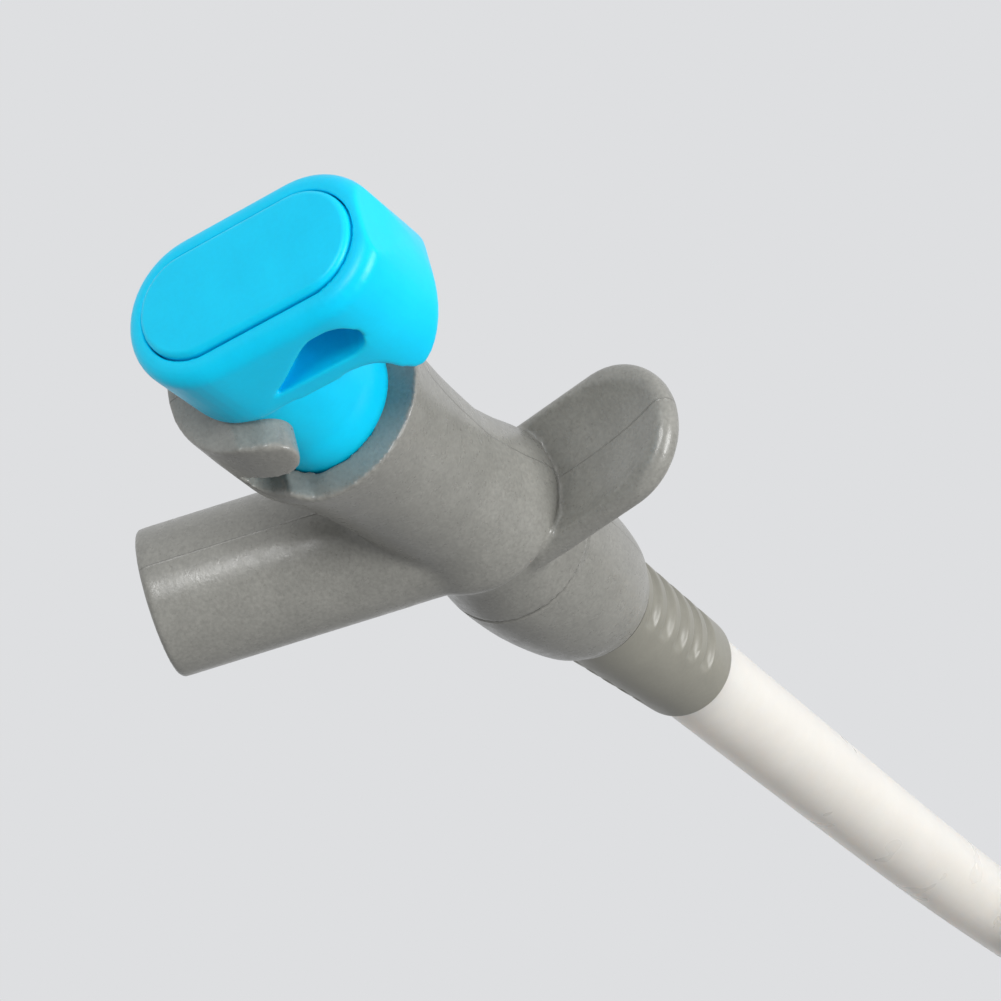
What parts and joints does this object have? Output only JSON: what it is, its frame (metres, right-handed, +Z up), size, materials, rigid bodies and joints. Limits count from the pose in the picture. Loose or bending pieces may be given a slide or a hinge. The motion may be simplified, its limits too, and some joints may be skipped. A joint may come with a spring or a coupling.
{
  "type": "push-button drink valve with hose",
  "caption": "Push-button drink valve for a hydration bladder: barrel with side spout and finger paddle, thumb button with finger hole, ribbed sleeve, coiled hose and plug.",
  "frame": {"origin": "under the middle of the valve's box, on the surface it lies on, the hose and its plug not counted", "axes": "+X along the barrel towards the thumb button, +Y to the spout's side, +Z up from the surface the valve lies on"},
  "size_m": [0.2773, 0.1208, 0.0401],
  "materials": {
    "grey_body": "satin moulded grey",
    "grey_sleeve": "satin grey",
    "blue_button": "smooth blue elastomer",
    "natural_plastic": "natural moulded",
    "black_rubber": "matt",
    "stainless_steel": "drawn",
    "milky_hose": "translucent milky"
  },
  "bodies": {
    "valve": {"valve_body": "grey_body", "inlet_cap": "grey_body", "hose_sleeve": "grey_sleeve", "valve_seat": "natural_plastic", "seat_gasket": "black_rubber", "spring_seat": "natural_plastic", "return_spring": "stainless_steel", "hose_inlet_end": "milky_hose", "hose": "milky_hose", "hose_coil": "milky_hose", "connector_plug": "grey_body", "plug_ring": "black_rubber"},
    "plunger": {"thumb_button": "blue_button", "button_pad": "blue_button", "piston": "natural_plastic", "piston_ring": "black_rubber", "plunger_stem": "stainless_steel", "poppet_washer": "black_rubber", "poppet": "natural_plastic", "poppet_nut": "stainless_steel"}
  },
  "joints": [
    {"name": "button_press", "type": "slide", "parent": "valve", "child": "plunger", "axis": [-1, 0, 0], "range_m": [0, 0.003], "stiffness_N_per_m": 1500, "springref_m": -0.002, "deforming": ["return_spring"]}
  ]
}
